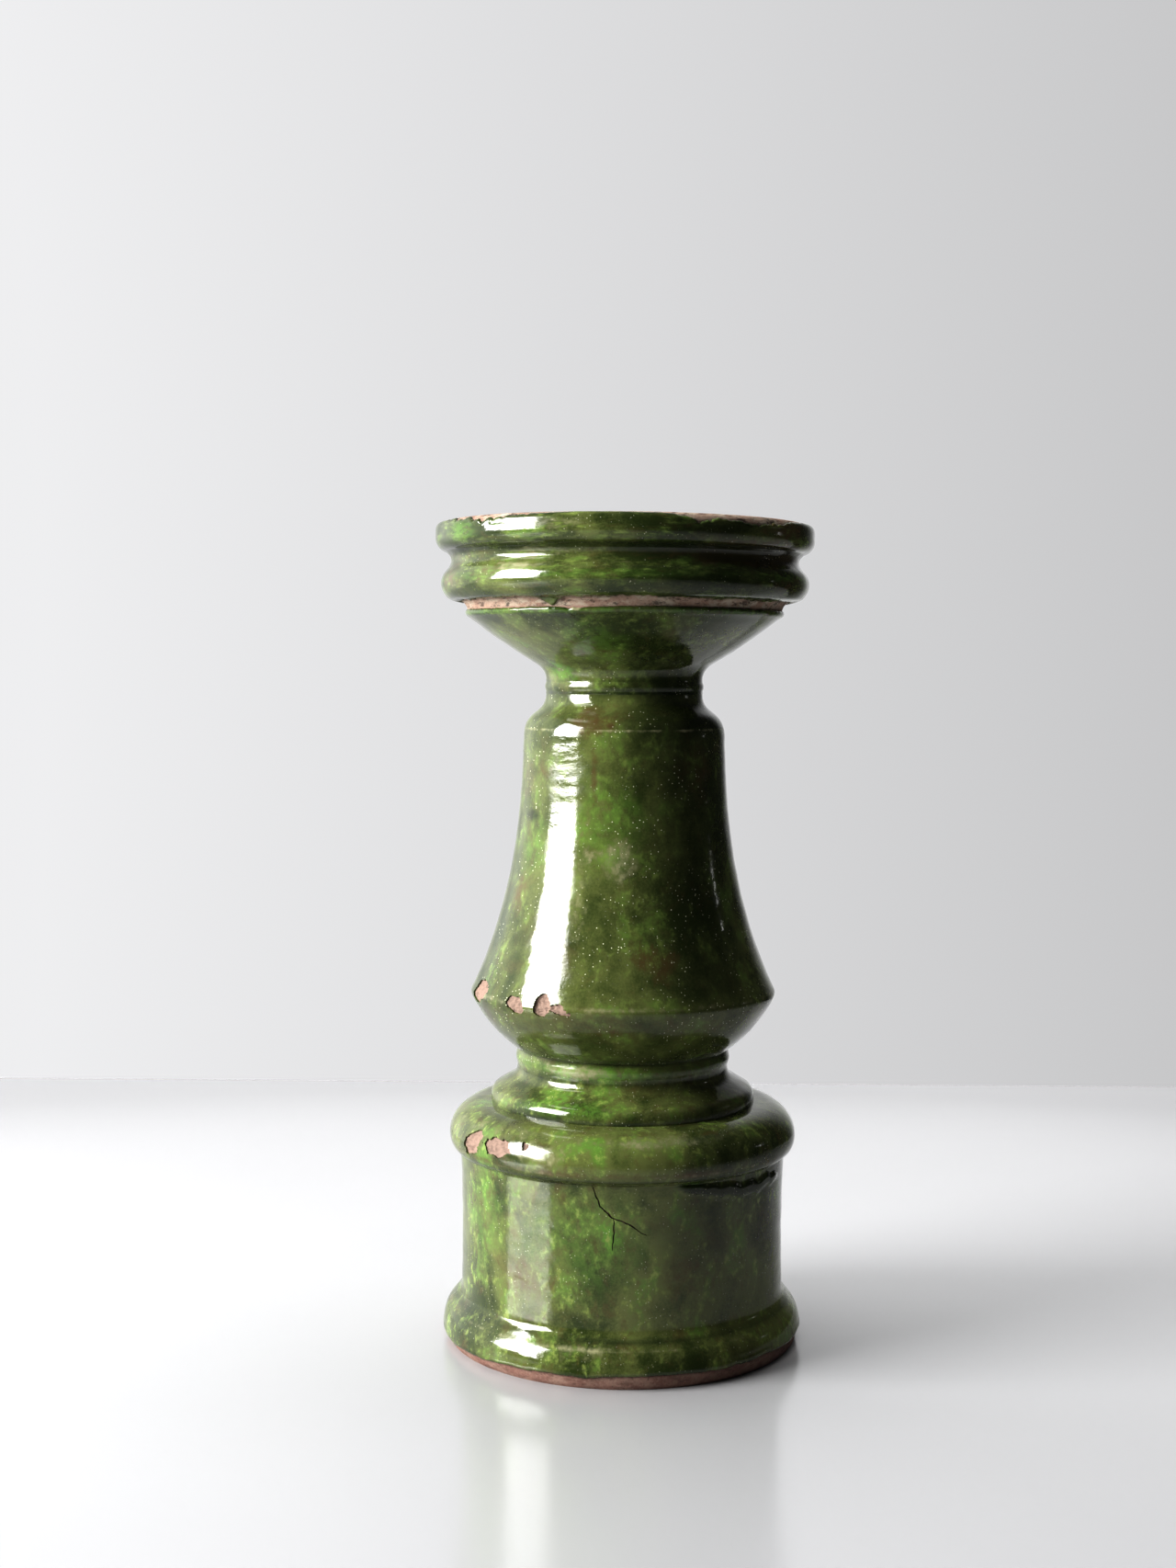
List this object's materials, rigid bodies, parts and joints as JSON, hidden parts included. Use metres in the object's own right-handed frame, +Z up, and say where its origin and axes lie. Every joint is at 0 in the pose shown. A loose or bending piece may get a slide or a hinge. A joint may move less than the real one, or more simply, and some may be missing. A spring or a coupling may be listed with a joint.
{
  "type": "pillar candlestick",
  "caption": "Turned baluster candlestick in green-glazed earthenware, with a moulded foot, a flaring stem and a wide shallow cup for a pillar candle.",
  "frame": {"origin": "centre of the foot ring, on the table", "axes": "+Z up along the axis of turning; the side that the picture shows faces -Y"},
  "size_m": [0.1574, 0.1574, 0.3401],
  "materials": {
    "clay": "bare fired earthenware, matt and slightly dusty",
    "slip": "dried and fired joining slip, matt",
    "glaze": "glossy mottled copper-green lead glaze, thin to brown on edges"
  },
  "bodies": {
    "root": {"plinth": "clay", "pedestal_cap": "clay", "bell_stem": "clay", "funnel": "clay", "candle_cup": "clay", "plinth_seam_slip": "slip", "bell_seam_slip": "slip", "neck_seam_slip": "slip", "cup_seam_slip": "slip", "plinth_glaze": "glaze", "pedestal_cap_glaze": "glaze", "bell_stem_glaze": "glaze", "funnel_glaze": "glaze", "candle_cup_outer_glaze": "glaze", "candle_cup_lining_glaze": "glaze"}
  },
  "joints": []
}
